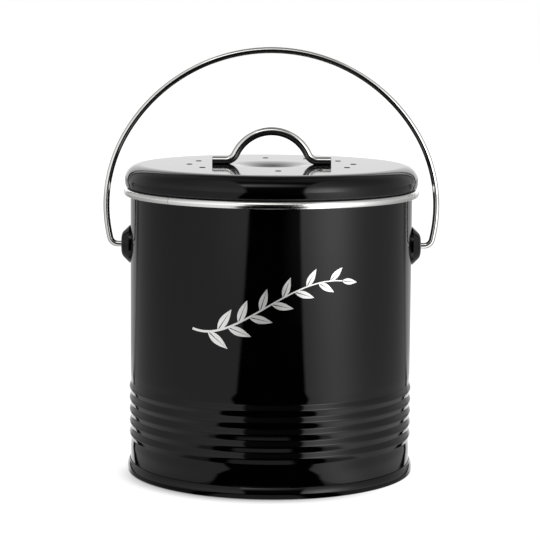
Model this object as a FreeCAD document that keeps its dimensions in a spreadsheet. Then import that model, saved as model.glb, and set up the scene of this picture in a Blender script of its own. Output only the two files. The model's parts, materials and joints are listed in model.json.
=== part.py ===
"""Compost bucket with a swinging bail, a vented lift-off lid, a twist-in filter and a liner.

Millimetres. +Z is up, the origin is the middle of the base on the surface that it stands on,
the bail turns about X and the front of the bucket faces -Y.
"""
import FreeCAD, Part
import math
import os
import re
import Sketcher

# Driving dimensions: name, size, what it is.
SIZES = [
    ("body_radius", "90", "outside of the wall"),
    ("gauge", "0.7", "sheet of the wall, the base and the lid"),
    ("running_gap", "0.3", "room between pieces that move on each other"),
    ("seam_gap", "0.1", "room between sheets that are joined"),
    ("bead_height", "179.7", "middle of the wall's curled edge above the floor"),
    ("curl_radius", "2.2", "outside of the curled edge's section"),
    ("curl_end", "110", "how far below level the curl goes on, degrees"),
    ("trim_gauge", "0.5", "strip of the rim trim"),
    ("trim_end", "44", "how far below level the trim goes on, degrees"),
    ("trim_leg", "3", "straight leg of the trim inside the mouth"),
    ("trim_joint", "0.25", "open butt joint of the trim"),
    ("trim_joint_angle", "228", "where that joint is, degrees from +X"),
    ("rib_count", "5", "ribs round the wall"),
    ("rib_pitch", "7.4", "from rib to rib"),
    ("rib_depth", "1.07", "from the bottom of a groove to the crest of a rib"),
    ("rib_sink", "0.25", "how far the grooves between the ribs go in"),
    ("rib_crest", "2.5", "radius of a rib's crest"),
    ("rib_valley", "1.6", "radius of the grooves between the ribs"),
    ("rib_middle", "39.55", "height of the middle of the ribs"),
    ("neck_length", "6.5", "from the plain wall to the outermost grooves"),
    ("hem_proud", "2", "how far the rolled hem stands out from the wall"),
    ("hem_middle", "2.4", "height at which the hem is widest"),
    ("hem_bend", "8.5", "outside of the hem's roll"),
    ("hem_round", "0.9", "rounded edges under the hem"),
    ("pan_height", "4", "underside of the base above the floor"),
    ("pan_bend", "1.5", "bend at the edge of the base"),
    ("pivot_drop", "34.2", "bail pivot below the middle of the curled edge"),
    ("ear_radius", "12.2", "foot of an ear"),
    ("ear_depth", "5.9", "how far an ear stands out from the wall"),
    ("ear_edge", "0.8", "straight edge at an ear's foot"),
    ("ear_slope", "45", "flank of an ear from its face, degrees"),
    ("ear_shoulder", "5", "rounding between the face and the flank"),
    ("ear_gauge", "1", "sheet of an ear"),
    ("wire_radius", "2", "bail wire"),
    ("wire_clearance", "0.06", "bail wire in the hole of an ear, on the radius"),
    ("bail_reach", "9.7", "how far the bail stands out past an ear's face"),
    ("bail_lift", "24.8", "height above its pivot at which the bail is widest"),
    ("bail_inset", "14.6", "middle of the bend of a side of the bail, out from the bucket's axis"),
    ("bail_drop", "8.3", "middle of the bend of the bail's crown below those of its sides"),
    ("bail_bend", "5.2", "bend of the bail into an ear"),
    ("head_radius", "3.4", "upset head on the bail's end"),
    ("head_length", "1.6", "length of that head"),
    ("lid_setback", "0.7", "edge of the lid inside the rim's edge"),
    ("lid_height", "13.6", "lid from its lower edge to its top"),
    ("lid_edge", "9.8", "rounding of the lid's top edge"),
    ("lid_tuck", "0.5", "how far the lid's lower edge turns in"),
    ("dish_margin", "3.15", "from the finger dish to the lid handle's feet"),
    ("dish_depth", "4.2", "finger dish under the lid handle"),
    ("vent_count", "12", "vent holes"),
    ("vent_margin", "41.05", "circle of the vent holes inside the lid's edge"),
    ("vent_radius", "1.75", "a vent hole"),
    ("vent_angle", "4.4", "first vent hole, degrees from +X"),
    ("skirt_depth", "11", "skirt of the lid below the rim's top"),
    ("skirt_flange", "3", "flange of the skirt on the lid's lower edge"),
    ("lid_clearance", "0.8", "skirt in the mouth, on the radius"),
    ("seal_thickness", "0.9", "seal under the lid's lower edge"),
    ("seal_width", "4", "width of that seal"),
    ("rod_radius", "2.7", "rod of the lid handle"),
    ("handle_rise", "21.1", "middle of the rod above the lid at the crown"),
    ("crown_radius", "25.5", "bend over the crown"),
    ("foot_bend", "7.2", "bend from the crown to a foot"),
    ("foot_length", "8.4", "straight foot on the lid"),
    ("foot_flat", "0.4", "flat filed under a foot"),
    ("foot_chamfer", "0.4", "chamfer on a foot's end"),
    ("screw_radius", "1.25", "screws of the lid handle"),
    ("screw_reach", "2.9", "screw inside a foot"),
    ("screw_head", "2.4", "radius of a screw's head"),
    ("head_height", "1.9", "height of a screw's head"),
    ("drive_width", "0.6", "cross recess in a screw's head"),
    ("drive_span", "1.3", "half the length of that recess"),
    ("drive_depth", "0.9", "depth of that recess"),
    ("thread_clearance", "0.05", "screw in its hole, on the radius"),
    ("washer_radius", "3.4", "washers under the lid"),
    ("washer_thickness", "0.6", "thickness of a washer"),
    ("cage_margin", "9.5", "filter cage outside the vent circle"),
    ("cage_wall", "1.6", "moulded wall of the cage"),
    ("cage_depth", "20", "height of the cage"),
    ("cage_round", "2.5", "rounded lower edge of the cage"),
    ("slot_count", "18", "slots in the cage's floor"),
    ("slot_radius", "2", "half the width of a slot"),
    ("slot_start", "18", "inner end of a slot"),
    ("slot_margin", "8", "outer end of a slot from the cage's outside"),
    ("lug_count", "3", "bayonet lugs of the cage"),
    ("lug_reach", "4.5", "how far a lug stands out"),
    ("lug_width", "10", "width of a lug"),
    ("lug_height", "2", "thickness of a lug"),
    ("lug_drop", "4", "top of a lug under the lid"),
    ("clip_gauge", "0.8", "sheet of the clips"),
    ("clip_width", "12", "width of a clip"),
    ("clip_foot", "7", "welded foot of a clip"),
    ("filter_height", "9", "thickness of the carbon filter"),
    ("filter_play", "0.5", "filter in its cage, on the radius"),
    ("filter_round", "1.5", "soft edge of the filter"),
    ("liner_play", "5", "liner's top under the skirt"),
    ("liner_clearance", "1", "liner's lip in the mouth, on the radius"),
    ("liner_wall", "1.6", "moulded wall of the liner"),
    ("liner_taper", "7", "how much narrower the liner's foot is, on the radius"),
    ("liner_round", "6", "rounded lower edge of the liner"),
    ("lip_width", "4", "rolled lip of the liner"),
    ("lip_drop", "7", "height of that lip"),
    ("lip_round", "1.4", "rounded top edge of the lip"),
]
NAMES = [name for name, number, meaning in SIZES]

# Places and sizes that follow from the driving dimensions.
DERIVED = {
    "wall_inside": "body_radius - gauge",
    "wall_foot": "gauge + seam_gap",
    "bead_centre": "wall_inside + curl_radius",
    "trim_inside": "curl_radius + seam_gap / 2",
    "trim_outside": "trim_inside + trim_gauge",
    "rim_radius": "bead_centre + trim_outside",
    "rim_top": "bead_height + trim_outside",
    "mouth_radius": "bead_centre - trim_outside",
    "rib_rounds": "rib_crest + rib_valley",
    "rib_span": "sqrt((rib_pitch / 2)^2 + (rib_rounds - rib_depth)^2)",
    "rib_angle": "asin(rib_rounds / rib_span) - atan(2 * (rib_rounds - rib_depth) / rib_pitch)",
    "neck_angle": "2 * atan(rib_sink / neck_length)",
    "neck_radius": "(neck_length^2 + rib_sink^2) / (4 * rib_sink)",
    "roll_across": "body_radius + hem_proud - hem_bend",
    "roll_inside": "hem_bend - gauge",
    "tip_angle": "acos((body_radius + seam_gap - roll_across) / roll_inside)",
    "turn_across": "roll_across + sqrt((hem_bend - hem_round)^2 - (hem_middle - hem_round)^2)",
    "turn_share": "hem_bend / (hem_bend - hem_round)",
    "pan_leg": "wall_inside - seam_gap - gauge",
    "pivot_height": "bead_height - pivot_drop",
    "ear_face": "body_radius + ear_depth",
    "ear_corner": "ear_radius - (ear_depth - ear_edge) / tan(ear_slope)",
    "ear_blend": "ear_shoulder * tan(ear_slope / 2)",
    "ear_hollow": "ear_radius - ear_gauge",
    "ear_back": "ear_face - ear_gauge",
    "hollow_corner": "ear_corner - ear_gauge * tan(ear_slope / 2)",
    "hollow_blend": "(ear_shoulder - ear_gauge) * tan(ear_slope / 2)",
    "hollow_edge": "ear_back - (ear_hollow - hollow_corner) * tan(ear_slope)",
    "bail_radius": "ear_face + bail_reach",
    "bail_end": "ear_back - running_gap - head_length",
    "side_radius": "bail_radius - bail_inset",
    "side_height": "pivot_height + bail_lift",
    "bend_out": "sqrt((side_radius - bail_bend)^2 - (bail_bend - bail_lift)^2)",
    "bend_share": "side_radius / (side_radius - bail_bend)",
    "crown_excess": "sqrt(bail_inset^2 + bail_drop^2)",
    "bail_crown": "side_radius + crown_excess",
    "lid_bottom": "rim_top + running_gap + seal_thickness",
    "lid_top": "lid_bottom + lid_height",
    "lid_under": "lid_top - gauge",
    "lid_radius": "rim_radius - lid_setback",
    "tuck_height": "lid_height - lid_edge",
    "tuck_radius": "(tuck_height^2 + lid_tuck^2) / (2 * lid_tuck)",
    "tuck_inside": "tuck_radius - gauge",
    "vent_circle": "lid_radius - vent_margin",
    "dish_radius": "foot_start - dish_margin",
    "dish_angle": "2 * atan(dish_depth / dish_radius)",
    "dish_bend": "dish_radius / (2 * sin(dish_angle))",
    "skirt_radius": "mouth_radius - lid_clearance",
    "skirt_bottom": "rim_top - skirt_depth",
    "foot_height": "lid_top + rod_radius - foot_flat",
    "crown_height": "lid_top + handle_rise",
    "leg_slope": "acos(1 - (crown_height - foot_height) / (crown_radius + foot_bend))",
    "foot_start": "(crown_radius + foot_bend) * sin(leg_slope)",
    "foot_end": "foot_start + foot_length",
    "screw_across": "foot_start + foot_length / 2",
    "screw_seat": "lid_under - washer_thickness",
    "cage_radius": "vent_circle + cage_margin",
    "cage_top": "lid_under - running_gap",
    "cage_bottom": "cage_top - cage_depth",
    "lug_bottom": "lid_under - lug_drop - lug_height",
    "clip_web": "cage_radius + lug_reach + running_gap",
    "clip_ledge": "lug_bottom - running_gap - clip_gauge",
    "slot_end": "cage_radius - slot_margin",
    "filter_radius": "cage_radius - cage_wall - filter_play",
    "filter_bottom": "cage_bottom + cage_wall",
    "filter_top": "filter_bottom + filter_height",
    "lip_radius": "mouth_radius - liner_clearance",
    "liner_top": "skirt_bottom - liner_play",
    "liner_radius": "lip_radius - lip_width",
    "liner_foot": "liner_radius - liner_taper",
    "liner_bottom": "pan_height + gauge + running_gap",
}

LEFT = "left"
RIGHT = "right"

doc = FreeCAD.newDocument("compost_bucket")
sheet = doc.addObject("Spreadsheet::Sheet", "sizes")
for row, (name, number, meaning) in enumerate(SIZES, 1):
    sheet.set(f"A{row}", meaning)
    sheet.set(f"B{row}", number)
    sheet.setAlias(f"B{row}", name)
doc.recompute()


def bind(formula):
    """A formula in plain names, with each name read from the sheet."""
    def swap(match):
        word = match.group(0)
        if word in DERIVED:
            return f"({bind(DERIVED[word])})"
        return f"sizes.{word}" if word in NAMES else word
    return re.sub(r"[a-z_]+", swap, formula)


def value(formula):
    """The number that a formula gives now."""
    answer = sheet.evalExpression(bind(formula))
    return float(getattr(answer, "Value", answer))


def new_body(label):
    """An empty body whose label names its file."""
    body = doc.addObject("PartDesign::Body", label)
    body.Label = label
    return body


def origin_part(body, role):
    """One of the body's own origin planes or axes."""
    return next(item for item in body.Origin.OriginFeatures if item.Role == role)


def new_sketch(body, name, plane, shift=None):
    """An empty sketch on an origin plane, moved by formulas for its own x, y and z (its normal)."""
    sketch = body.newObject("Sketcher::SketchObject", name)
    sketch.AttachmentSupport = [(origin_part(body, plane), "")]
    sketch.MapMode = "FlatFace"
    for axis, formula in (shift or {}).items():
        sketch.setExpression(f"AttachmentOffset.Base.{axis}", bind(formula))
    return sketch


def limit(sketch, kind, *where, formula):
    """A dimension of the sketch, bound to a formula."""
    index = sketch.addConstraint(Sketcher.Constraint(kind, *where, value(formula)))
    sketch.setExpression(f"Constraints[{index}]", bind(formula))


def pin(sketch, geometry, end, across, up):
    """Ties a point of the sketch to its two formulas."""
    for kind, axis, formula in (("DistanceX", -2, across), ("DistanceY", -1, up)):
        if formula == "0":
            sketch.addConstraint(Sketcher.Constraint("PointOnObject", geometry, end, axis))
        else:
            limit(sketch, kind, -1, 1, geometry, end, formula=formula)


def arc_between(start, end, radius, side):
    """The short arc from start to end that turns to that side."""
    chord = end - start
    middle = (start + end) / 2
    reach = math.sqrt(max(radius ** 2 - (chord.Length / 2) ** 2, 0))
    away = FreeCAD.Vector(-chord.y, chord.x, 0).normalize()
    centre = middle + away * (reach if side == LEFT else -reach)
    first, last = (start, end) if side == LEFT else (end, start)
    angles = [math.atan2(point.y - centre.y, point.x - centre.x) for point in (first, last)]
    circle = Part.Circle(centre, FreeCAD.Vector(0, 0, 1), radius)
    return Part.ArcOfCircle(circle, *angles)


def draw(sketch, outline, closed=True):
    """Lines and arcs through the outline's corners.

    A corner is (across, up), or (across, up, side, radius) where an arc of that radius, turning
    to that side, leads on to the next corner.
    """
    points = [FreeCAD.Vector(value(corner[0]), value(corner[1]), 0) for corner in outline]
    edges = len(outline) if closed else len(outline) - 1
    ends = []
    for index in range(edges):
        corner = outline[index]
        start, end = points[index], points[(index + 1) % len(points)]
        if len(corner) == 2:
            sketch.addGeometry(Part.LineSegment(start, end))
            ends.append((1, 2))
        else:
            side, radius = corner[2:]
            sketch.addGeometry(arc_between(start, end, value(radius), side))
            ends.append((1, 2) if side == LEFT else (2, 1))
    for index in range(edges):
        following = (index + 1) % edges
        if closed or following:
            sketch.addConstraint(Sketcher.Constraint(
                "Coincident", index, ends[index][1], following, ends[following][0]))
    for index in range(edges):
        pin(sketch, index, ends[index][0], *outline[index][:2])
        if len(outline[index]) > 2:
            limit(sketch, "Radius", index, formula=outline[index][3])
    if not closed:
        pin(sketch, edges - 1, ends[-1][1], *outline[-1][:2])
    return sketch


def draw_circles(sketch, circles):
    """Circles, each given by formulas for its centre and its radius."""
    for across, up, radius in circles:
        centre = FreeCAD.Vector(value(across), value(up), 0)
        index = sketch.addGeometry(Part.Circle(centre, FreeCAD.Vector(0, 0, 1), value(radius)))
        pin(sketch, index, 3, across, up)
        limit(sketch, "Radius", index, formula=radius)
    return sketch


def box_outline(left, low, right, high):
    """Corners of an upright rectangle."""
    return [(left, low), (right, low), (right, high), (left, high)]


def turn(body, sketch, axis="V_Axis"):
    """A full turn of the sketch about one of its own axes."""
    feature = body.newObject("PartDesign::Revolution", f"{sketch.Name}_turn")
    feature.Profile = sketch
    feature.ReferenceAxis = (sketch, [axis])
    feature.Angle = 360
    return feature


def pad(body, sketch, length, both_ways=False):
    """The sketch given a thickness along its normal."""
    feature = body.newObject("PartDesign::Pad", f"{sketch.Name}_pad")
    feature.Profile = sketch
    feature.setExpression("Length", bind(length))
    feature.SideType = "Symmetric" if both_ways else "One side"
    return feature


def cut(body, sketch, depth=None, along_normal=False):
    """A pocket of the sketch: against its normal, along it, or right through both ways."""
    doc.recompute()
    before = body.Shape.Volume
    feature = body.newObject("PartDesign::Pocket", f"{sketch.Name}_cut")
    feature.Profile = sketch
    feature.Reversed = along_normal
    if depth is None:
        feature.Type = "ThroughAll"
        feature.SideType = "Symmetric"
    else:
        feature.setExpression("Length", bind(depth))
    doc.recompute()
    if not body.Shape.Volume < before:
        raise RuntimeError(f"{sketch.Name} cuts nothing")
    return feature


def repeat_round(body, feature, count):
    """Copies of a feature evenly round Z."""
    pattern = body.newObject("PartDesign::PolarPattern", f"{feature.Name}_round")
    pattern.Originals = [feature]
    pattern.Axis = (origin_part(body, "Z_Axis"), [""])
    pattern.Angle = 360
    pattern.setExpression("Occurrences", bind(count))
    body.Tip = pattern
    return pattern


def mirror(body, feature):
    """The same feature on the other side of the middle plane."""
    mirrored = body.newObject("PartDesign::Mirrored", f"{feature.Name}_mirror")
    mirrored.Originals = [feature]
    mirrored.MirrorPlane = (origin_part(body, "YZ_Plane"), [""])
    body.Tip = mirrored
    return mirrored


def rod(body, outline, radius):
    """A round rod along an open outline in the XZ plane that starts along X."""
    path = draw(new_sketch(body, "path", "XZ_Plane"), outline, closed=False)
    first_across, first_up = outline[0][:2]
    section = new_sketch(body, "section", "YZ_Plane", {"z": first_across})
    draw_circles(section, [("0", first_up, radius)])
    feature = body.newObject("PartDesign::AdditivePipe", "wire")
    feature.Profile = section
    feature.Spine = (path, [])
    return feature


def both_sides(half):
    """A symmetric open outline, from its left half given from the left end to the middle."""
    flipped = []
    for index in range(len(half) - 1, -1, -1):
        across, up = half[index][:2]
        turning = half[index - 1][2:] if index else ()
        flipped.append((f"-({across})" if across != "0" else "0", up, *turning))
    if half[-1][0] == "0":
        return half[:-1] + flipped
    return half + flipped


def backwards(outline):
    """The same open outline, drawn from its other end."""
    flipped = []
    for index in range(len(outline) - 1, -1, -1):
        across, up = outline[index][:2]
        turning = ()
        if index and len(outline[index - 1]) > 2:
            side, radius = outline[index - 1][2:]
            turning = (LEFT if side == RIGHT else RIGHT, radius)
        flipped.append((across, up, *turning))
    return flipped


def wall_face(inset):
    """One face of the wall in section, from its foot to above its ribs, so far inside the outer face."""
    ribs = int(value("rib_count"))
    face = f"(body_radius - {inset})"
    groove = f"({face} - rib_sink)"
    out_radius, in_radius = f"(neck_radius - {inset})", f"(neck_radius + {inset})"
    crest, valley = f"(rib_crest - {inset})", f"(rib_valley + {inset})"
    neck_across = f"{face} - {out_radius} * (1 - cos(neck_angle))"
    neck_up = f"{out_radius} * sin(neck_angle)"
    flank_foot = f"{groove} + {valley} * (1 - cos(rib_angle))"
    flank_top = f"{groove} + rib_depth - {crest} * (1 - cos(rib_angle))"
    foot_swing = f"(rib_pitch / 2 - {valley} * sin(rib_angle))"
    top_swing = f"{crest} * sin(rib_angle)"
    low = f"(rib_middle - {ribs / 2} * rib_pitch)"
    high = f"(rib_middle + {ribs / 2} * rib_pitch)"
    outline = [
        (face, "wall_foot"),
        (face, f"{low} - neck_length", LEFT, out_radius),
        (neck_across, f"{low} - neck_length + {neck_up}", RIGHT, in_radius),
    ]
    for index in range(ribs):
        centre = f"({low} + {index + 0.5} * rib_pitch)"
        outline += [
            (groove, f"{centre} - rib_pitch / 2", RIGHT, valley),
            (flank_foot, f"{centre} - {foot_swing}"),
            (flank_top, f"{centre} - {top_swing}", LEFT, crest),
            (flank_top, f"{centre} + {top_swing}"),
            (flank_foot, f"{centre} + {foot_swing}", RIGHT, valley),
        ]
    return outline + [
        (groove, high, RIGHT, in_radius),
        (neck_across, f"{high} + neck_length - {neck_up}", LEFT, out_radius),
        (face, f"{high} + neck_length"),
    ]


def make_body_wall():
    body = new_body("body_wall")
    tail = "(curl_radius - gauge)"
    outline = wall_face("0") + [
        ("body_radius", "bead_height", RIGHT, tail),
        ("bead_centre", f"bead_height + {tail}", RIGHT, tail),
        (f"bead_centre + {tail}", "bead_height", RIGHT, tail),
        (f"bead_centre + {tail} * cos(curl_end)", f"bead_height - {tail} * sin(curl_end)"),
        ("bead_centre + curl_radius * cos(curl_end)", "bead_height - curl_radius * sin(curl_end)",
         LEFT, "curl_radius"),
        ("bead_centre + curl_radius", "bead_height", LEFT, "curl_radius"),
        ("bead_centre", "bead_height + curl_radius", LEFT, "curl_radius"),
        ("wall_inside", "bead_height"),
    ] + backwards(wall_face("gauge"))
    turn(body, draw(new_sketch(body, "wall_section", "XZ_Plane"), outline))
    return body


def make_base_pan():
    body = new_body("base_pan")
    edge = "gauge / 2"
    tip_middle = f"(hem_bend - {edge})"
    inner_corner = "roll_across + sqrt(roll_inside^2 - (hem_middle - gauge)^2)"
    outline = [
        ("0", "pan_height"),
        ("pan_leg - pan_bend", "pan_height", RIGHT, "pan_bend"),
        ("pan_leg", "pan_height - pan_bend"),
        ("pan_leg", "hem_round", LEFT, "hem_round"),
        ("pan_leg + hem_round", "0"),
        ("turn_across", "0", LEFT, "hem_round"),
        ("roll_across + (turn_across - roll_across) * turn_share",
         "hem_middle - (hem_middle - hem_round) * turn_share", LEFT, "hem_bend"),
        ("roll_across + hem_bend * cos(tip_angle)", "hem_middle + hem_bend * sin(tip_angle)", LEFT, edge),
        (f"roll_across + {tip_middle} * cos(tip_angle) - {edge} * sin(tip_angle)",
         f"hem_middle + {tip_middle} * sin(tip_angle) + {edge} * cos(tip_angle)", LEFT, edge),
        ("roll_across + roll_inside * cos(tip_angle)", "hem_middle + roll_inside * sin(tip_angle)",
         RIGHT, "roll_inside"),
        (inner_corner, "gauge"),
        ("pan_leg + gauge", "gauge"),
        ("pan_leg + gauge", "pan_height - pan_bend", LEFT, "pan_bend + gauge"),
        ("pan_leg - pan_bend", "pan_height + gauge"),
        ("0", "pan_height + gauge"),
    ]
    turn(body, draw(new_sketch(body, "pan_section", "XZ_Plane"), outline))
    return body


def make_rim_trim():
    body = new_body("rim_trim")
    outline = [
        ("bead_centre + trim_outside * cos(trim_end)", "bead_height - trim_outside * sin(trim_end)",
         LEFT, "trim_outside"),
        ("bead_centre + trim_outside", "bead_height", LEFT, "trim_outside"),
        ("bead_centre", "bead_height + trim_outside", LEFT, "trim_outside"),
        ("mouth_radius", "bead_height"),
        ("mouth_radius", "bead_height - trim_leg"),
        ("mouth_radius + trim_gauge", "bead_height - trim_leg"),
        ("mouth_radius + trim_gauge", "bead_height", RIGHT, "trim_inside"),
        ("bead_centre", "bead_height + trim_inside", RIGHT, "trim_inside"),
        ("bead_centre + trim_inside", "bead_height", RIGHT, "trim_inside"),
        ("bead_centre + trim_inside * cos(trim_end)", "bead_height - trim_inside * sin(trim_end)"),
    ]
    turn(body, draw(new_sketch(body, "trim_section", "XZ_Plane"), outline))
    joint = new_sketch(body, "joint", "XY_Plane")
    joint.setExpression("AttachmentOffset.Rotation.Angle", bind("trim_joint_angle"))
    half = "trim_joint / 2"
    draw(joint, box_outline("body_radius / 2", f"-{half}", "rim_radius * 2", half))
    cut(body, joint)
    return body


def make_ear(label, side):
    """A pressed ear on the wall, side 1 at +X and -1 at -X."""
    body = new_body(label)
    face_turn, back_turn = (LEFT, RIGHT) if side > 0 else (RIGHT, LEFT)
    hole = "wire_radius + wire_clearance"
    buried = "body_radius - ear_depth"
    points = [
        ("ear_face", hole),
        ("ear_face", "ear_corner - ear_blend", face_turn, "ear_shoulder"),
        ("ear_face - ear_blend * sin(ear_slope)", "ear_corner + ear_blend * cos(ear_slope)"),
        ("body_radius + ear_edge", "ear_radius"),
        (buried, "ear_radius"),
        (buried, "ear_hollow"),
        ("hollow_edge", "ear_hollow"),
        ("ear_back - hollow_blend * sin(ear_slope)", "hollow_corner + hollow_blend * cos(ear_slope)",
         back_turn, "ear_shoulder - ear_gauge"),
        ("ear_back", "hollow_corner - hollow_blend"),
        ("ear_back", hole),
    ]
    outline = [(f"{side} * ({point[0]})", *point[1:]) for point in points]
    sketch = new_sketch(body, f"{label}_section", "XZ_Plane", {"y": "pivot_height"})
    turn(body, draw(sketch, outline), "H_Axis")
    saddle = new_sketch(body, f"{label}_saddle", "XY_Plane")
    cut(body, draw_circles(saddle, [("0", "0", "body_radius")]))
    return body


def make_bail_handle():
    body = new_body("bail_handle")
    half = [
        ("-bail_end", "pivot_height"),
        ("-(bail_inset + bend_out)", "pivot_height", RIGHT, "bail_bend"),
        ("-(bail_inset + bend_out * bend_share)",
         "side_height + (bail_bend - bail_lift) * bend_share", RIGHT, "side_radius"),
        ("-bail_inset * bail_crown / crown_excess",
         "side_height + bail_drop * side_radius / crown_excess", RIGHT, "bail_crown"),
        ("0", "side_height - bail_drop + bail_crown"),
    ]
    rod(body, both_sides(half), "wire_radius")
    head = new_sketch(body, "head", "XZ_Plane", {"y": "pivot_height"})
    draw(head, box_outline("bail_end", "0", "bail_end + head_length", "head_radius"))
    mirror(body, turn(body, head, "H_Axis"))
    return body


def make_lid_shell():
    body = new_body("lid_shell")
    inner_edge = "lid_edge - gauge"
    tuck_reach = "sqrt(tuck_inside^2 - (tuck_height - gauge)^2)"
    flange = "skirt_radius + seam_gap"
    outline = [
        ("0", "lid_top - dish_depth", LEFT, "dish_bend"),
        ("dish_radius / 2", "lid_top - dish_depth / 2", RIGHT, "dish_bend"),
        ("dish_radius", "lid_top"),
        ("lid_radius - lid_edge", "lid_top", RIGHT, "lid_edge"),
        ("lid_radius", "lid_top - lid_edge", RIGHT, "tuck_radius"),
        ("lid_radius - lid_tuck", "lid_bottom"),
        (flange, "lid_bottom"),
        (flange, "lid_bottom + gauge"),
        (f"lid_radius - tuck_radius + {tuck_reach}", "lid_bottom + gauge", LEFT, "tuck_inside"),
        ("lid_radius - gauge", "lid_top - lid_edge", LEFT, inner_edge),
        ("lid_radius - lid_edge", "lid_under"),
        ("dish_radius", "lid_under", LEFT, "dish_bend - gauge"),
        ("dish_radius / 2 + gauge * sin(dish_angle)",
         "lid_top - dish_depth / 2 - gauge * cos(dish_angle)", RIGHT, "dish_bend + gauge"),
        ("0", "lid_under - dish_depth"),
    ]
    turn(body, draw(new_sketch(body, "lid_section", "XZ_Plane"), outline))
    vent = new_sketch(body, "vent", "XY_Plane")
    vent.setExpression("AttachmentOffset.Rotation.Angle", bind("vent_angle"))
    draw_circles(vent, [("vent_circle", "0", "vent_radius")])
    repeat_round(body, cut(body, vent), "vent_count")
    fixing = new_sketch(body, "fixing", "XY_Plane")
    hole = "screw_radius + thread_clearance"
    draw_circles(fixing, [("screw_across", "0", hole), ("-screw_across", "0", hole)])
    cut(body, fixing)
    return body


def make_lid_skirt():
    body = new_body("lid_skirt")
    seat = "lid_bottom + gauge"
    outline = [
        ("skirt_radius - gauge", "skirt_bottom"),
        ("skirt_radius", "skirt_bottom"),
        ("skirt_radius", seat),
        ("skirt_radius + skirt_flange", seat),
        ("skirt_radius + skirt_flange", f"{seat} + gauge"),
        ("skirt_radius - gauge", f"{seat} + gauge"),
    ]
    turn(body, draw(new_sketch(body, "skirt_section", "XZ_Plane"), outline))
    return body


def make_lid_seal():
    body = new_body("lid_seal")
    inside = "skirt_radius + seam_gap"
    section = box_outline(
        inside, "lid_bottom - seal_thickness", "skirt_radius + seal_width", "lid_bottom")
    turn(body, draw(new_sketch(body, "seal_section", "XZ_Plane"), section))
    return body


def make_lid_handle():
    body = new_body("lid_handle")
    half = [
        ("-foot_end", "foot_height"),
        ("-foot_start", "foot_height", LEFT, "foot_bend"),
        ("-crown_radius * sin(leg_slope)", "foot_height + foot_bend * (1 - cos(leg_slope))",
         RIGHT, "crown_radius"),
        ("0", "crown_height"),
    ]
    wire = rod(body, both_sides(half), "rod_radius")
    doc.recompute()
    end = value("foot_end")
    rims = [f"Edge{number}" for number, edge in enumerate(wire.Shape.Edges, 1)
            if abs(abs(edge.CenterOfMass.x) - end) < value("foot_chamfer")
            and isinstance(edge.Curve, Part.Circle)]
    chamfer = body.newObject("PartDesign::Chamfer", "foot_ends")
    chamfer.Base = (wire, rims)
    chamfer.setExpression("Size", bind("foot_chamfer"))
    body.Tip = chamfer
    flat = new_sketch(body, "flat", "XY_Plane", {"z": "lid_top"})
    reach = "foot_end + rod_radius"
    draw(flat, box_outline(f"-({reach})", "-2 * rod_radius", reach, "2 * rod_radius"))
    cut(body, flat, "rod_radius")
    tapped = new_sketch(body, "tapped", "XY_Plane", {"z": "lid_top"})
    hole = "screw_radius + thread_clearance"
    draw_circles(tapped, [("screw_across", "0", hole), ("-screw_across", "0", hole)])
    cut(body, tapped, "screw_reach + running_gap", along_normal=True)
    return body


def make_handle_screws():
    body = new_body("handle_screws")
    outline = [
        ("0", "screw_seat - head_height"),
        ("screw_head - head_height / 2", "screw_seat - head_height", LEFT, "head_height"),
        ("screw_head", "screw_seat"),
        ("screw_radius", "screw_seat"),
        ("screw_radius", "lid_top + screw_reach"),
        ("0", "lid_top + screw_reach"),
    ]
    section = new_sketch(body, "screw_section", "XZ_Plane", {"x": "screw_across"})
    screw = turn(body, draw(section, outline))
    drive = new_sketch(
        body, "drive", "XY_Plane", {"x": "screw_across", "z": "screw_seat - head_height"})
    wing, half = "drive_span", "drive_width / 2"
    cross = [
        (wing, f"-{half}"), (wing, half), (half, half), (half, wing), (f"-{half}", wing),
        (f"-{half}", half), (f"-{wing}", half), (f"-{wing}", f"-{half}"), (f"-{half}", f"-{half}"),
        (f"-{half}", f"-{wing}"), (half, f"-{wing}"), (half, f"-{half}"),
    ]
    recess = cut(body, draw(drive, cross), "drive_depth", along_normal=True)
    mirrored = mirror(body, screw)
    mirrored.Originals = [screw, recess]
    return body


def make_handle_washers():
    body = new_body("handle_washers")
    section = new_sketch(body, "washer_section", "XZ_Plane", {"x": "screw_across"})
    inside = "screw_radius + thread_clearance"
    draw(section, box_outline(inside, "screw_seat", "washer_radius", "lid_under"))
    mirror(body, turn(body, section))
    return body


def make_filter_clips():
    body = new_body("filter_clips")
    outline = [
        ("cage_radius + running_gap", "clip_ledge"),
        ("clip_web + clip_gauge", "clip_ledge"),
        ("clip_web + clip_gauge", "lid_under - clip_gauge"),
        ("clip_web + clip_foot", "lid_under - clip_gauge"),
        ("clip_web + clip_foot", "lid_under"),
        ("clip_web", "lid_under"),
        ("clip_web", "clip_ledge + clip_gauge"),
        ("cage_radius + running_gap", "clip_ledge + clip_gauge"),
    ]
    section = draw(new_sketch(body, "clip_section", "XZ_Plane"), outline)
    repeat_round(body, pad(body, section, "clip_width", both_ways=True), "lug_count")
    return body


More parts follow.
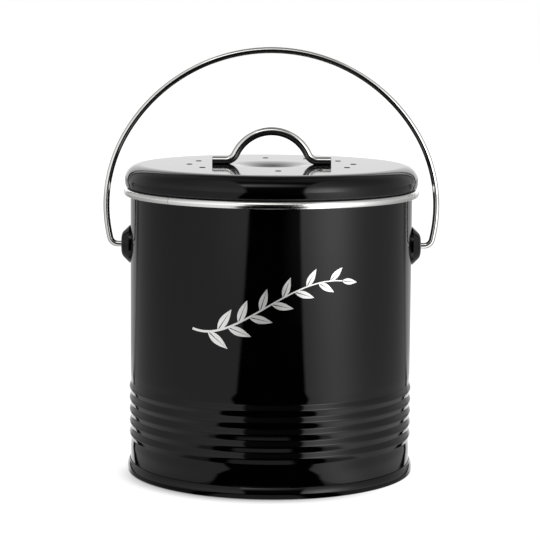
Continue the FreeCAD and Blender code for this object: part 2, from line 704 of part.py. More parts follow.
def make_filter_cage():
    body = new_body("filter_cage")
    inside = "cage_radius - cage_wall"
    outline = [
        ("0", "cage_bottom"),
        ("cage_radius - cage_round", "cage_bottom", LEFT, "cage_round"),
        ("cage_radius", "cage_bottom + cage_round"),
        ("cage_radius", "cage_top"),
        (inside, "cage_top"),
        (inside, "filter_bottom"),
        ("0", "filter_bottom"),
    ]
    turn(body, draw(new_sketch(body, "cage_section", "XZ_Plane"), outline))
    lug = new_sketch(body, "lug", "XY_Plane", {"z": "lug_bottom"})
    draw(lug, box_outline(
        f"{inside} + cage_wall / 2", "-lug_width / 2", "cage_radius + lug_reach", "lug_width / 2"))
    repeat_round(body, pad(body, lug, "lug_height"), "lug_count")
    slot = new_sketch(body, "slot", "XY_Plane", {"z": "cage_bottom"})
    draw(slot, [
        ("slot_start", "-slot_radius"),
        ("slot_end", "-slot_radius", LEFT, "slot_radius"),
        ("slot_end + slot_radius", "0", LEFT, "slot_radius"),
        ("slot_end", "slot_radius"),
        ("slot_start", "slot_radius", LEFT, "slot_radius"),
        ("slot_start - slot_radius", "0", LEFT, "slot_radius"),
    ])
    repeat_round(body, cut(body, slot, "2 * cage_wall", along_normal=True), "slot_count")
    return body


def make_carbon_filter():
    body = new_body("carbon_filter")
    outline = [
        ("0", "filter_bottom"),
        ("filter_radius - filter_round", "filter_bottom", LEFT, "filter_round"),
        ("filter_radius", "filter_bottom + filter_round"),
        ("filter_radius", "filter_top - filter_round", LEFT, "filter_round"),
        ("filter_radius - filter_round", "filter_top"),
        ("0", "filter_top"),
    ]
    turn(body, draw(new_sketch(body, "filter_section", "XZ_Plane"), outline))
    return body


def make_liner_bucket():
    body = new_body("liner_bucket")
    floor_edge = "liner_foot - liner_round"
    outline = [
        ("0", "liner_bottom"),
        (floor_edge, "liner_bottom", LEFT, "liner_round"),
        ("liner_foot", "liner_bottom + liner_round"),
        ("liner_radius", "liner_top - liner_wall"),
        ("lip_radius - liner_wall", "liner_top - liner_wall"),
        ("lip_radius - liner_wall", "liner_top - lip_drop"),
        ("lip_radius", "liner_top - lip_drop"),
        ("lip_radius", "liner_top - lip_round", LEFT, "lip_round"),
        ("lip_radius - lip_round", "liner_top"),
        ("liner_radius - liner_wall", "liner_top"),
        ("liner_foot - liner_wall", "liner_bottom + liner_round", RIGHT, "liner_round - liner_wall"),
        (floor_edge, "liner_bottom + liner_wall"),
        ("0", "liner_bottom + liner_wall"),
    ]
    turn(body, draw(new_sketch(body, "liner_section", "XZ_Plane"), outline))
    return body


pieces = [
    make_body_wall(),
    make_base_pan(),
    make_rim_trim(),
    make_ear("ear_left", -1),
    make_ear("ear_right", 1),
    make_bail_handle(),
    make_lid_shell(),
    make_lid_skirt(),
    make_lid_seal(),
    make_lid_handle(),
    make_handle_screws(),
    make_handle_washers(),
    make_filter_clips(),
    make_filter_cage(),
    make_carbon_filter(),
    make_liner_bucket(),
]
doc.recompute()

failed = [item.Label for item in doc.Objects if {"Invalid", "Error"} & set(item.State)]
broken = [piece.Label for piece in pieces if piece.Shape.isNull() or not piece.Shape.isValid()]
if failed or broken:
    raise RuntimeError(f"failed objects {failed}, broken shapes {broken}")

os.makedirs("parts", exist_ok=True)
for piece in pieces:
    piece.Shape.exportStep(f"parts/{piece.Label}.step")
    extent = piece.Shape.BoundBox
    print(f"{piece.Label}: {len(piece.Shape.Solids)} solid, {piece.Shape.Volume:.1f} mm3, "
          f"z {extent.ZMin:.2f} to {extent.ZMax:.2f}, x {extent.XMin:.2f} to {extent.XMax:.2f}")
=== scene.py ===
"""Looks of the compost bucket: camera, studio, materials, the vents' rolled edges and a printed sprig.

Metres, in the CAD model's frame: +Z is up and the front of the bucket faces -Y.
"""

import json
import math

import bpy
from mathutils import Matrix, Vector


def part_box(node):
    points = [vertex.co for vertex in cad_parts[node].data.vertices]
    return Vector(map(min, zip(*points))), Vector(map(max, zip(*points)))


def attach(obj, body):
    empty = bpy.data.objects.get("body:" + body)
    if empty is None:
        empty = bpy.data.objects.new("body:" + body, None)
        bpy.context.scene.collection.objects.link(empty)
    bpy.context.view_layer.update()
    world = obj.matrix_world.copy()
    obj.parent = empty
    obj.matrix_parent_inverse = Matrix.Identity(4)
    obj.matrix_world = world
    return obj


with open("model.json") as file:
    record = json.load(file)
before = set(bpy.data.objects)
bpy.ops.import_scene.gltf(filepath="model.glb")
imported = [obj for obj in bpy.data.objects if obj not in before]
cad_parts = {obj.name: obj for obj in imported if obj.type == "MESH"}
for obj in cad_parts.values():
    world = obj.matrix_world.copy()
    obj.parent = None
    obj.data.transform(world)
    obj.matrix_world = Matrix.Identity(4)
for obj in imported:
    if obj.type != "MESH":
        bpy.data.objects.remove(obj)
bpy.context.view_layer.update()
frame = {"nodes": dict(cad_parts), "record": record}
nodes = frame["nodes"]

# Camera
CAMERA_PLACE = (-0.0015, -1.3556, 0.3049)
CAMERA_LENS = 141.73
CAMERA_SENSOR = 36.0
CAMERA_PITCH = math.radians(7.39)
CAMERA_ROLL = math.radians(0.42)
CAMERA_YAW = math.radians(0.04)
CAMERA_CLIP = 100

# A name with _BY_ holds the four numbers of an eased change: where it starts and ends, and its two values.
# TURN is a direction round the bucket, RISE an angle above the floor at the front, HEIGHT the upward part
# of a direction, REACH a distance from the bucket's axis, BACK a place's Y and EDGE the way past the edge
# of the sheet behind. Angles are in radians.

# White floor that the camera sees, and the shadow on it
FLOOR_HALF = 8.0
FLOOR_PAPER = (0.3, 0.3, 0.3, 1)
FLOOR_LIGHT_BY_SHADE = (0.05, 0.9, 0.85, 0.1)
SHADOW_FROM = Vector((0.25, 0.55, 0.8)).normalized()
SHADOW_FALLS = Vector((-0.4, -0.92, 0.0)).normalized()
SHADOW_REACH = 0.018
SHADOW_SAMPLES = 16
SHADOW_BY_TURN = (-0.1, 0.9, 0.0, 1.0)

# Studio above the horizon, as the gloss shows it: a tent, a lamp on the right, a dark gap at the front with
# a lit strip across it, and the sheet behind
TENT_BY_TURN = (-0.45, 0.95, 0.62, 1.5)
TENT_BY_HEIGHT = (0.15, 0.6, 1.0, 0.75)
LAMP_TURN = math.radians(43)
LAMP_UP = 0.04
LAMP_TOWARDS = Vector((math.sin(LAMP_TURN), -math.cos(LAMP_TURN), LAMP_UP)).normalized()
LAMP_STRETCH = (1.0, 1.0, 0.8)
LAMP_FOCUS = 24.0
LAMP_LIGHT = 5.0
HALO_FOCUS = 6.0
HALO_LIGHT = 0.3
GAP_LEFT = -0.335
GAP_RIGHT = 0.425
GAP_EASE = 0.03
GAP_LOW_BY_RISE = (0.0, 0.3, 0.0, 0.06)
GAP_HIGH_BY_RISE = (1.1, 1.5, 0.0, 0.4)
STRIP_RISE = 0.82
STRIP_WIDTH = 0.16
STRIP_LIGHT = 2.7
STRIP_FADE = 4.8
SHEET_LIGHT = 1.19
SHEET_LIGHT_BY_HEIGHT = (0.1, 0.4, SHEET_LIGHT, 1.6)
SHEET_BY_TURN = (0.46, 0.53, 1.0, 0.0)
SHEET_BY_HEIGHT = (0.5, 0.78, 1.0, 0.0)
SEAM_BY_TURN = (0.54, 0.64, 0.4, 1.0)

# The same studio on the floor. The sides of the gap and the edges of the sheet are lines, each given by its
# slope and its start. FOOT is the floor close to the bucket's foot.
ON_FLOOR_FRONT_BY_TURN = (0.0, 0.2, 0.0, 1.0)
ON_FLOOR_TENT_BY_TURN = (-0.6, 0.9, 0.44, 1.0)
ON_FLOOR_MORE_BY_TURN = (0.6, 0.95, 0.0, 0.3)
ON_FLOOR_MORE_BY_REACH = (0.6, 1.7, 0.0, 1.0)
ON_FLOOR_LAMP_TURN_BY_REACH = (0.12, 0.4, math.radians(40), math.radians(49))
ON_FLOOR_LAMP_BY_REACH = (0.3, 1.8, 1.4, 2.5)
ON_FLOOR_LAMP_END_BY_REACH = (1.95, 2.7, 0.0, -2.4)
ON_FLOOR_FOCUS_BY_REACH = (0.15, 0.4, 40.0, 20.0)
ON_FLOOR_LAMP_SHARE = 0.8
ON_FLOOR_HALO_FOCUS = 4.0
ON_FLOOR_HALO_SHARE = 0.2
ON_FLOOR_GAP_LEFT = (0.079, -0.3463)
ON_FLOOR_GAP_RIGHT = (-0.0354, 0.4039)
ON_FLOOR_GAP_EASE = 0.025
ON_FLOOR_FAINT_BY_TURN = (0.1, 0.36, 0.0, 0.18)
ON_FLOOR_FAINT_BY_REACH = (0.6, 1.4, 0.0, 1.0)
FOOT_SHADE_BY_REACH = (0.092, 0.135, 0.5, 1.0)
FOOT_PATCH_ACROSS = (-0.038, 0.022, 0.004)
FOOT_PATCH_BY_REACH = (0.1185, 0.1235, 1.0, 0.0)
FOOT_PATCH_LIGHT = 1.3
ON_FLOOR_BEHIND_BY_BACK = (-0.03, 0.0, 0.0, 1.0)
ON_FLOOR_NEAR_EDGE = (2.4, -0.252)
ON_FLOOR_FAR_EDGE = (1.2, 0.012)
ON_FLOOR_SIDE_BY_EDGE = (-0.16, -0.06, 1.0, 0.5)
ON_FLOOR_SEAM_BY_EDGE = (-0.22, -0.14, 0.0, 1.0)
ON_FLOOR_SEAM_NEAR_BY_REACH = (0.25, 0.5, 0.02, 0.8)
ON_FLOOR_SEAM_FAR_BY_REACH = (0.9, 1.4, 1.0, 0.6)
ON_FLOOR_SEAM_WIDTH_BY_REACH = (0.25, 0.5, 0.07, 0.0)
ON_FLOOR_SHEET_BY_EDGE = (-0.05, 0.0, 0.0, 1.0)
ON_FLOOR_SHEET_LIGHT_BY_REACH = (0.2, 0.55, SHEET_LIGHT, 0.65)

# Range of most of a noise's values
NOISE_RANGE = (0.3, 0.7)

# Fineness of the drawn lines on each axis of the place that they follow
ROUND_LINES = (25.0, 25.0, 5000.0)
WIRE_LINES = (4000.0, 4000.0, 6.0)

# Middles of the bends that the drawn lines of the wire follow
BAIL_MIDDLE = (0.0, 0.0, 0.162)
ROD_MIDDLE = (0.0, 0.0, 0.193)
ROD_REACH = 0.055

# Rolled edges of the vents, and their circle on the lid
VENT_COUNT = 12
VENT_FIRST = math.radians(4.4)
VENT_CIRCLE = 0.0525
VENT_RADIUS = 0.00175
VENT_EDGE = 0.00012
VENT_EDGE_LIFT = 0.6
VENT_STEPS = 36
VENT_SIDES = 9

# Printed sprig, laid out in millimetres on the unrolled wall
MM_IN_M = 1000
WALL_RADIUS = 0.0900
PRINT_PROUD = 0.00006
PRINT_HEIGHT = 0.1200
STEM = [(-50, -17), (-20, -26), (8, 18), (45, 13)]
STEM_WIDTH = (1.5, 0.6)
STEM_STEPS = 60
LEAF_COUNT = 13
LEAF_FIRST = 0.12
LEAF_LENGTHS = (17.0, 11.0)
LEAF_FULLNESS = 0.17
LEAF_BELLY = 0.8
LEAF_LEAN = math.radians(42)
LEAF_STEPS = 18
LEAF_SPREADS = (0.0, 0.33, 0.67, 1.0)
LEAF_RIB = 0.32
LEAF_RIB_START = 8


def put(tree, socket, value):
    """Links a socket to another, or gives it a constant."""
    if isinstance(value, bpy.types.NodeSocket):
        tree.links.new(value, socket)
    else:
        socket.default_value = value


def add(tree, kind, inputs=None, **settings):
    """A new node with its settings and its inputs."""
    made = tree.nodes.new(kind)
    for name, value in settings.items():
        setattr(made, name, value)
    for name, value in (inputs or {}).items():
        put(tree, made.inputs[name], value)
    return made


def calc(tree, operation, *values):
    """One step of arithmetic."""
    return add(tree, "ShaderNodeMath", dict(enumerate(values)), operation=operation).outputs[0]


def vector(tree, operation, *values):
    """One step of arithmetic on vectors."""
    return add(tree, "ShaderNodeVectorMath", dict(enumerate(values)), operation=operation).outputs


def remap(tree, value, low, high, to_low, to_high):
    """The value moved from one range to another, eased at both ends and held beyond them."""
    return add(tree, "ShaderNodeMapRange", {
        "Value": value, "From Min": low, "From Max": high, "To Min": to_low, "To Max": to_high,
    }, interpolation_type="SMOOTHSTEP").outputs["Result"]


def blend(tree, share, first, second):
    """From the first value to the second as share goes from 0 to 1."""
    rest = calc(tree, "SUBTRACT", 1.0, share)
    return calc(tree, "ADD", calc(tree, "MULTIPLY", rest, first), calc(tree, "MULTIPLY", share, second))


def noise(tree, place, scale, detail=2.0):
    """Fine random variation, about 0.5."""
    return add(tree, "ShaderNodeTexNoise", {
        "Vector": place, "Scale": scale, "Detail": detail,
    }).outputs["Fac"]


def split(tree, place):
    """The three parts of a vector."""
    return add(tree, "ShaderNodeSeparateXYZ", {"Vector": place}).outputs


def band(tree, value, low, high, ease):
    """1 between low and high, easing to 0 outside them."""
    past_low = remap(tree, calc(tree, "SUBTRACT", value, low), -ease, ease, 0.0, 1.0)
    past_high = remap(tree, calc(tree, "SUBTRACT", value, high), -ease, ease, 1.0, 0.0)
    return calc(tree, "MULTIPLY", past_low, past_high)


def glow(tree, aim, focus):
    """Light that falls off from the direction where the cosine aim is 1."""
    return calc(tree, "EXPONENT", calc(tree, "MULTIPLY", calc(tree, "SUBTRACT", aim, 1.0), focus))


def total(tree, *terms):
    """Sum of several values."""
    answer = terms[0]
    for term in terms[1:]:
        answer = calc(tree, "ADD", answer, term)
    return answer


def product(tree, *factors):
    """Product of several values."""
    answer = factors[0]
    for factor in factors[1:]:
        answer = calc(tree, "MULTIPLY", answer, factor)
    return answer


def sky_light(tree, towards):
    """Light from a direction above the floor: tent, lamp, the dark gap at the front and the sheet behind."""
    across, back, up = split(tree, towards)
    front = calc(tree, "MULTIPLY", back, -1.0)
    level = calc(tree, "SQRT", total(tree, product(tree, across, across), product(tree, back, back)))
    tent = product(tree, remap(tree, calc(tree, "DIVIDE", front, level), *TENT_BY_TURN),
                   remap(tree, up, *TENT_BY_HEIGHT))
    squat = vector(tree, "NORMALIZE", vector(tree, "MULTIPLY", towards, LAMP_STRETCH)[0])[0]
    aim = vector(tree, "DOT_PRODUCT", squat, LAMP_TOWARDS)["Value"]
    sides = total(tree, tent, product(tree, glow(tree, aim, LAMP_FOCUS), LAMP_LIGHT),
                  product(tree, glow(tree, aim, HALO_FOCUS), HALO_LIGHT))

    rise = calc(tree, "ARCTAN2", up, front)
    off_strip = calc(tree, "DIVIDE", calc(tree, "SUBTRACT", rise, STRIP_RISE), STRIP_WIDTH)
    strip = calc(tree, "EXPONENT", product(tree, off_strip, off_strip, -1.0))
    strip_light = calc(tree, "SUBTRACT", STRIP_LIGHT, product(tree, across, STRIP_FADE))
    gap = total(tree, product(tree, strip, strip_light), remap(tree, rise, *GAP_LOW_BY_RISE),
                remap(tree, rise, *GAP_HIGH_BY_RISE))
    lit = blend(tree, band(tree, across, GAP_LEFT, GAP_RIGHT, GAP_EASE), sides, gap)

    turn = calc(tree, "ARCTAN2", calc(tree, "ABSOLUTE", across), back)
    edged = product(tree, lit, remap(tree, turn, *SEAM_BY_TURN))
    sheet = product(tree, remap(tree, turn, *SHEET_BY_TURN), remap(tree, up, *SHEET_BY_HEIGHT))
    return blend(tree, sheet, edged, remap(tree, up, *SHEET_LIGHT_BY_HEIGHT))


def floor_light(tree, place):
    """Light from a place on the floor: what sky_light gives, as it lies on the floor."""
    x, y, _ = split(tree, place)
    far = vector(tree, "LENGTH", place)["Value"]
    across = calc(tree, "DIVIDE", x, far)
    back = calc(tree, "DIVIDE", y, far)
    front = calc(tree, "MULTIPLY", back, -1.0)
    in_front = remap(tree, front, *ON_FLOOR_FRONT_BY_TURN)
    more = product(tree, remap(tree, front, *ON_FLOOR_MORE_BY_TURN),
                   remap(tree, far, *ON_FLOOR_MORE_BY_REACH))
    tent = total(tree, remap(tree, front, *ON_FLOOR_TENT_BY_TURN), more)
    lamp_turn = remap(tree, far, *ON_FLOOR_LAMP_TURN_BY_REACH)
    aim = total(tree, product(tree, across, calc(tree, "SINE", lamp_turn)),
                product(tree, front, calc(tree, "COSINE", lamp_turn)))
    strength = total(tree, remap(tree, far, *ON_FLOOR_LAMP_BY_REACH),
                     remap(tree, far, *ON_FLOOR_LAMP_END_BY_REACH))
    focused = glow(tree, aim, remap(tree, far, *ON_FLOOR_FOCUS_BY_REACH))
    halo = glow(tree, aim, ON_FLOOR_HALO_FOCUS)
    lamp = product(tree, strength, total(tree, product(tree, focused, ON_FLOOR_LAMP_SHARE),
                                         product(tree, halo, ON_FLOOR_HALO_SHARE)))

    depth = calc(tree, "LOGARITHM", far, math.e)
    left = calc(tree, "MULTIPLY_ADD", depth, *ON_FLOOR_GAP_LEFT)
    right = calc(tree, "MULTIPLY_ADD", depth, *ON_FLOOR_GAP_RIGHT)
    in_gap = product(tree, band(tree, across, left, right, ON_FLOOR_GAP_EASE), in_front)
    faint = product(tree, remap(tree, across, *ON_FLOOR_FAINT_BY_TURN),
                    remap(tree, far, *ON_FLOOR_FAINT_BY_REACH))
    lit = blend(tree, in_gap, total(tree, tent, lamp), faint)
    patch = product(tree, band(tree, x, *FOOT_PATCH_ACROSS), remap(tree, far, *FOOT_PATCH_BY_REACH),
                    in_front)
    lit = blend(tree, patch, product(tree, lit, remap(tree, far, *FOOT_SHADE_BY_REACH)), FOOT_PATCH_LIGHT)

    out = calc(tree, "ABSOLUTE", x)
    near_edge = calc(tree, "MULTIPLY_ADD", out, *ON_FLOOR_NEAR_EDGE)
    far_edge = calc(tree, "MULTIPLY_ADD", out, *ON_FLOOR_FAR_EDGE)
    past = calc(tree, "DIVIDE", calc(tree, "SUBTRACT", y, calc(tree, "MINIMUM", near_edge, far_edge)), far)
    behind = remap(tree, y, *ON_FLOOR_BEHIND_BY_BACK)
    seam = product(tree, remap(tree, far, *ON_FLOOR_SEAM_NEAR_BY_REACH),
                   remap(tree, far, *ON_FLOOR_SEAM_FAR_BY_REACH))
    seam = blend(tree, remap(tree, past, *ON_FLOOR_SEAM_BY_EDGE), 1.0, seam)
    edged = product(tree, lit, blend(tree, behind, remap(tree, past, *ON_FLOOR_SIDE_BY_EDGE), seam))
    past_seam = calc(tree, "SUBTRACT", past, remap(tree, far, *ON_FLOOR_SEAM_WIDTH_BY_REACH))
    sheet = product(tree, remap(tree, past_seam, *ON_FLOOR_SHEET_BY_EDGE), behind)
    return blend(tree, sheet, edged, remap(tree, far, *ON_FLOOR_SHEET_LIGHT_BY_REACH))


def make_world():
    """White for the camera and for soft light, the studio for what shines."""
    world = bpy.data.worlds.new("studio")
    world.use_nodes = True
    tree = world.node_tree
    towards = vector(tree, "NORMALIZE", add(tree, "ShaderNodeTexCoord").outputs["Generated"])[0]
    shining = add(tree, "ShaderNodeLightPath").outputs["Is Glossy Ray"]
    background = tree.nodes["Background"]
    background.inputs["Color"].default_value = (1, 1, 1, 1)
    put(tree, background.inputs["Strength"], blend(tree, shining, 1.0, sky_light(tree, towards)))
    bpy.context.scene.world = world


def flat_square(name, half, height):
    """A level square of the stage."""
    mesh = bpy.data.meshes.new(name)
    corners = [(-half, -half, height), (half, -half, height), (half, half, height), (-half, half, height)]
    mesh.from_pydata(corners, [], [(0, 1, 2, 3)])
    made = bpy.data.objects.new(name, mesh)
    bpy.context.scene.collection.objects.link(made)
    return made


def empty_material(name):
    """A material with nothing in it but its output."""
    material = bpy.data.materials.new(name)
    material.use_nodes = True
    material.node_tree.nodes.clear()
    output = material.node_tree.nodes.new("ShaderNodeOutputMaterial")
    return material, material.node_tree, output.inputs["Surface"]


def make_floor():
    """The white floor that the camera sees, with the soft shadow where the bucket stands."""
    floor = flat_square("floor", FLOOR_HALF, 0.0)
    floor.visible_glossy = False
    material, tree, surface = empty_material("white_floor")
    towards = add(tree, "ShaderNodeCombineXYZ", dict(zip("XYZ", SHADOW_FROM))).outputs[0]
    open_share = add(tree, "ShaderNodeAmbientOcclusion", {"Distance": SHADOW_REACH, "Normal": towards},
                     samples=SHADOW_SAMPLES).outputs["AO"]
    place = add(tree, "ShaderNodeNewGeometry").outputs["Position"]
    aim = vector(tree, "DOT_PRODUCT", vector(tree, "NORMALIZE", place)[0], SHADOW_FALLS)["Value"]
    shade = product(tree, calc(tree, "SUBTRACT", 1.0, open_share), remap(tree, aim, *SHADOW_BY_TURN))
    light = add(tree, "ShaderNodeEmission", {"Strength": remap(tree, shade, *FLOOR_LIGHT_BY_SHADE)})
    paper = add(tree, "ShaderNodeBsdfDiffuse", {"Color": FLOOR_PAPER})
    both = add(tree, "ShaderNodeAddShader", {0: light.outputs[0], 1: paper.outputs[0]})
    put(tree, surface, both.outputs[0])
    floor.data.materials.append(material)


def make_shown_floor():
    """The studio below the horizon, which only gloss shows."""
    floor = flat_square("floor_in_gloss", FLOOR_HALF, 0.0)
    floor.visible_camera = False
    floor.visible_diffuse = False
    floor.visible_shadow = False
    floor.visible_transmission = False
    material, tree, surface = empty_material("studio_floor")
    place = add(tree, "ShaderNodeNewGeometry").outputs["Position"]
    put(tree, surface, add(tree, "ShaderNodeEmission", {"Strength": floor_light(tree, place)}).outputs[0])
    floor.data.materials.append(material)


def make_camera():
    """The camera at the photograph's place."""
    ahead = Vector((math.sin(CAMERA_YAW) * math.cos(CAMERA_PITCH),
                    math.cos(CAMERA_YAW) * math.cos(CAMERA_PITCH), -math.sin(CAMERA_PITCH)))
    level = Vector((math.cos(CAMERA_YAW), -math.sin(CAMERA_YAW), 0))
    upright = level.cross(ahead)
    right = level * math.cos(CAMERA_ROLL) + upright * math.sin(CAMERA_ROLL)
    up = upright * math.cos(CAMERA_ROLL) - level * math.sin(CAMERA_ROLL)
    data = bpy.data.cameras.new("camera")
    data.lens = CAMERA_LENS
    data.sensor_width = CAMERA_SENSOR
    data.clip_end = CAMERA_CLIP
    camera = bpy.data.objects.new("camera", data)
    turn = Matrix((right, up, -ahead)).transposed().to_4x4()
    camera.matrix_world = Matrix.Translation(CAMERA_PLACE) @ turn
    bpy.context.scene.collection.objects.link(camera)
    bpy.context.scene.camera = camera


def new_finish(name, **constants):
    """A material with one Principled shader, and the place on the part that its pattern follows."""
    material, tree, surface = empty_material(name)
    shader = add(tree, "ShaderNodeBsdfPrincipled")
    for socket, value in constants.items():
        shader.inputs[socket.replace("_", " ")].default_value = value
    put(tree, surface, shader.outputs[0])
    place = add(tree, "ShaderNodeTexCoord").outputs["Object"]
    return material, tree, shader.inputs, place


def tint(tree, share, dark, light):
    """A colour between two greys or colours."""
    return add(tree, "ShaderNodeMix", {"Factor": share, 6: (*dark, 1), 7: (*light, 1)},
               data_type="RGBA").outputs[2]


def roughen(tree, height, depth):
    """A bump so deep."""
    return add(tree, "ShaderNodeBump", {"Height": height, "Distance": depth, "Strength": 1.0}).outputs[0]


def black_enamel():
    """Gloss black enamel with a slight orange peel."""
    material, tree, inputs, place = new_finish("black_enamel", IOR=1.3)
    cloud = noise(tree, place, scale=60.0)
    peel = noise(tree, place, scale=420.0, detail=1.0)
    put(tree, inputs["Base Color"],
        tint(tree, cloud, dark=(0.0002, 0.0002, 0.0003), light=(0.0005, 0.0005, 0.0006)))
    put(tree, inputs["Roughness"], remap(tree, cloud, *NOISE_RANGE, 0.045, 0.07))
    put(tree, inputs["Normal"], roughen(tree, peel, depth=0.000006))
    return material


def steel(name, place_of_lines, light, dark, smooth, rough):
    """Drawn steel: fine lines that place_of_lines lays along the piece."""
    material, tree, inputs, place = new_finish(name, Metallic=1.0)
    lines = noise(tree, place_of_lines(tree, place), scale=1.0, detail=3.0)
    worn = calc(tree, "MULTIPLY", noise(tree, place, scale=45.0), 0.03)
    put(tree, inputs["Base Color"], tint(tree, lines, dark, light))
    put(tree, inputs["Roughness"],
        calc(tree, "ADD", remap(tree, lines, *NOISE_RANGE, smooth, rough), worn))
    put(tree, inputs["Normal"], roughen(tree, lines, depth=0.0000004))
    return material


def round_lines(tree, place):
    """Lines that run level round the bucket."""
    return vector(tree, "MULTIPLY", place, ROUND_LINES)[0]


def wire_lines(tree, place):
    """Lines that run along the bail and the lid handle, each bent round a middle in the XZ plane."""
    from_rod = vector(tree, "SUBTRACT", place, ROD_MIDDLE)[0]
    from_bail = vector(tree, "SUBTRACT", place, BAIL_MIDDLE)[0]
    on_rod = calc(tree, "LESS_THAN", vector(tree, "LENGTH", from_rod)["Value"], ROD_REACH)
    arm = add(tree, "ShaderNodeMix", {"Factor": on_rod, 4: from_bail, 5: from_rod},
              data_type="VECTOR").outputs[1]
    across, back, up = split(tree, arm)
    reach = calc(tree, "SQRT", total(tree, product(tree, across, across), product(tree, up, up)))
    along = add(tree, "ShaderNodeCombineXYZ", {
        "X": reach, "Y": back, "Z": calc(tree, "ARCTAN2", up, across)}).outputs[0]
    return vector(tree, "MULTIPLY", along, WIRE_LINES)[0]


def zinc_steel():
    """Zinc-plated steel with a fine crystal grain."""
    material, tree, inputs, place = new_finish("zinc_steel", Metallic=1.0)
    grain = noise(tree, place, scale=900.0, detail=3.0)
    put(tree, inputs["Base Color"], tint(tree, grain, dark=(0.5, 0.5, 0.53), light=(0.66, 0.66, 0.67)))
    put(tree, inputs["Roughness"], remap(tree, grain, *NOISE_RANGE, 0.25, 0.42))
    put(tree, inputs["Normal"], roughen(tree, grain, depth=0.000005))
    return material


def moulded(name, dark, light, scale, depth, smooth, rough):
    """Plastic, rubber or felt with a fine even grain."""
    material, tree, inputs, place = new_finish(name, IOR=1.48)
    grain = noise(tree, place, scale, detail=3.0)
    put(tree, inputs["Base Color"], tint(tree, noise(tree, place, scale=50.0), dark, light))
    put(tree, inputs["Roughness"], remap(tree, grain, *NOISE_RANGE, smooth, rough))
    put(tree, inputs["Normal"], roughen(tree, grain, depth))
    return material


def silver_print():
    """Silver ink with fine flakes."""
    material, tree, inputs, place = new_finish("silver_print", Metallic=0.75)
    flake = noise(tree, place, scale=2500.0)
    put(tree, inputs["Base Color"], tint(tree, flake, dark=(0.62, 0.62, 0.61), light=(0.8, 0.8, 0.79)))
    put(tree, inputs["Roughness"], remap(tree, flake, *NOISE_RANGE, 0.32, 0.45))
    put(tree, inputs["Normal"], roughen(tree, flake, depth=0.000004))
    return material


def on_wall(across, up):
    """A point of the unrolled wall, just proud of the paint."""
    reach = WALL_RADIUS + PRINT_PROUD
    angle = across / MM_IN_M / reach
    return (reach * math.sin(angle), -reach * math.cos(angle), PRINT_HEIGHT + up / MM_IN_M)


def stem_point(share):
    """Place and direction on the stem, a cubic curve led by its four guide points."""
    weights = [(1 - share) ** 3, 3 * share * (1 - share) ** 2, 3 * share ** 2 * (1 - share), share ** 3]
    place = sum((Vector(guide) * weight for guide, weight in zip(STEM, weights)), Vector((0, 0)))
    steps = [Vector(after) - Vector(before) for before, after in zip(STEM, STEM[1:])]
    slopes = [(1 - share) ** 2, 2 * share * (1 - share), share ** 2]
    ahead = sum((step * slope for step, slope in zip(steps, slopes)), Vector((0, 0)))
    return place, ahead.normalized()


def ribbon(points, faces, rails):
    """Adds a strip of quads between rails, each a list of places on the unrolled wall."""
    first = len(points)
    steps = len(rails[0])
    for rail in rails:
        points += [on_wall(*place) for place in rail]
    for row in range(len(rails) - 1):
        for step in range(steps - 1):
            corner = first + row * steps + step
            faces.append((corner, corner + 1, corner + steps + 1, corner + steps))


def leaf(points, faces, foot, angle, length):
    """Two half leaves with a bare rib between them."""
    ahead = Vector((math.cos(angle), math.sin(angle)))
    side = Vector((-ahead.y, ahead.x))
    shares = [step / LEAF_STEPS for step in range(LEAF_STEPS + 1)]
    for hand in (1, -1):
        rails = []
        for spread in LEAF_SPREADS:
            rail = []
            for share in shares:
                rib = LEAF_RIB * (1 - share) * min(1.0, share * LEAF_RIB_START)
                edge = length * LEAF_FULLNESS * math.sin(math.pi * share ** LEAF_BELLY)
                reach = rib + (max(edge, rib) - rib) * spread
                rail.append(foot + ahead * (length * share) + side * (hand * reach))
            rails.append(rail)
        ribbon(points, faces, rails if hand < 0 else rails[::-1])


def new_piece(name, points, faces, material):
    """A smooth piece that the scene adds."""
    mesh = bpy.data.meshes.new(name)
    mesh.from_pydata(points, [], faces)
    mesh.materials.append(material)
    mesh.shade_smooth()
    piece = bpy.data.objects.new(name, mesh)
    bpy.context.scene.collection.objects.link(piece)
    return piece


def make_vent_edges(material):
    """The rolled edge round each vent, a thin ring on the lid's flat top."""
    lid_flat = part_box("lid_shell")[1][2]
    turns = [math.tau * step / VENT_STEPS for step in range(VENT_STEPS)]
    sides = [math.tau * side / VENT_SIDES for side in range(VENT_SIDES)]
    points, faces = [], []
    for vent in range(VENT_COUNT):
        angle = VENT_FIRST + math.tau * vent / VENT_COUNT
        middle = Vector((VENT_CIRCLE * math.cos(angle), VENT_CIRCLE * math.sin(angle), lid_flat))
        first = len(points)
        for turn in turns:
            away = Vector((math.cos(turn), math.sin(turn), 0))
            for side in sides:
                reach = VENT_RADIUS + VENT_EDGE * (1 + math.cos(side))
                lift = VENT_EDGE * (VENT_EDGE_LIFT + math.sin(side))
                points.append(middle + away * reach + Vector((0, 0, lift)))
        for step in range(VENT_STEPS):
            here = first + step * VENT_SIDES
            following = first + (step + 1) % VENT_STEPS * VENT_SIDES
            for side in range(VENT_SIDES):
                beside = (side + 1) % VENT_SIDES
                faces.append((here + side, following + side, following + beside, here + beside))
    edges = new_piece("vent_edges", points, faces, material)
    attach(edges, "lid")


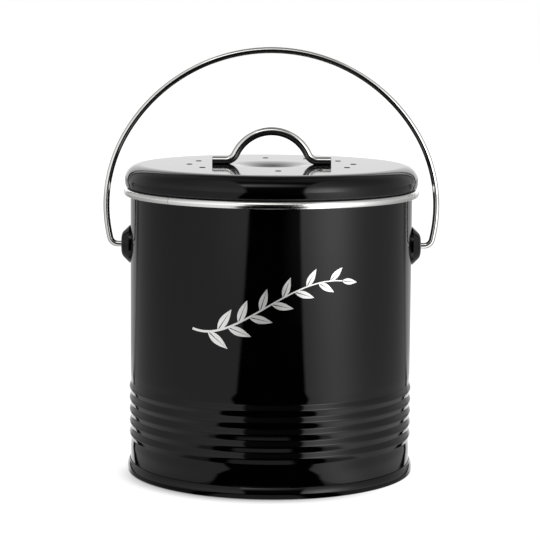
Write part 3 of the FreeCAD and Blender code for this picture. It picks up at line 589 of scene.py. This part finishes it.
def make_sprig(material):
    """A leafy sprig printed on the front of the wall."""
    points, faces = [], []
    rails = [[], []]
    for step in range(STEM_STEPS + 1):
        share = step / STEM_STEPS
        place, ahead = stem_point(share)
        half = (STEM_WIDTH[0] + (STEM_WIDTH[1] - STEM_WIDTH[0]) * share) / 2
        side = Vector((-ahead.y, ahead.x)) * half
        rails[0].append(place - side)
        rails[1].append(place + side)
    ribbon(points, faces, rails)
    for index in range(LEAF_COUNT):
        share = LEAF_FIRST + (1 - LEAF_FIRST) * index / (LEAF_COUNT - 1)
        place, ahead = stem_point(share)
        last = index == LEAF_COUNT - 1
        hand = 0 if last else (1 if index % 2 else -1)
        angle = math.atan2(ahead.y, ahead.x) + hand * LEAF_LEAN
        length = LEAF_LENGTHS[0] + (LEAF_LENGTHS[1] - LEAF_LENGTHS[0]) * share
        leaf(points, faces, place, angle, length)
    sprig = new_piece("printed_sprig", points, faces, material)
    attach(sprig, "bucket")


finishes = {
    "black_enamel": black_enamel(),
    "bright_wire": steel("bright_wire", wire_lines, light=(0.63, 0.63, 0.62), dark=(0.57, 0.57, 0.56),
                         smooth=0.09, rough=0.13),
    "rim_steel": steel("rim_steel", round_lines, light=(0.8, 0.8, 0.79), dark=(0.66, 0.66, 0.65),
                       smooth=0.12, rough=0.22),
    "zinc_steel": zinc_steel(),
    "seal_silicone": moulded("seal_silicone", dark=(0.004, 0.004, 0.004), light=(0.008, 0.008, 0.008),
                             scale=1500.0, depth=0.00001, smooth=0.5, rough=0.7),
    "cage_plastic": moulded("cage_plastic", dark=(0.02, 0.02, 0.022), light=(0.035, 0.035, 0.037),
                            scale=1200.0, depth=0.00002, smooth=0.4, rough=0.55),
    "carbon_felt": moulded("carbon_felt", dark=(0.012, 0.012, 0.012), light=(0.035, 0.035, 0.034),
                           scale=700.0, depth=0.0004, smooth=0.85, rough=1.0),
    "liner_plastic": moulded("liner_plastic", dark=(0.12, 0.125, 0.13), light=(0.16, 0.165, 0.17),
                             scale=1100.0, depth=0.00002, smooth=0.38, rough=0.5),
}
for subpart in frame["record"]["subparts"]:
    nodes[subpart["node"]].material_slots[0].material = finishes[subpart["material_slot"]]

make_vent_edges(finishes["black_enamel"])
make_sprig(silver_print())

make_world()
make_floor()
make_shown_floor()
make_camera()
bpy.context.scene.view_settings.view_transform = "Standard"
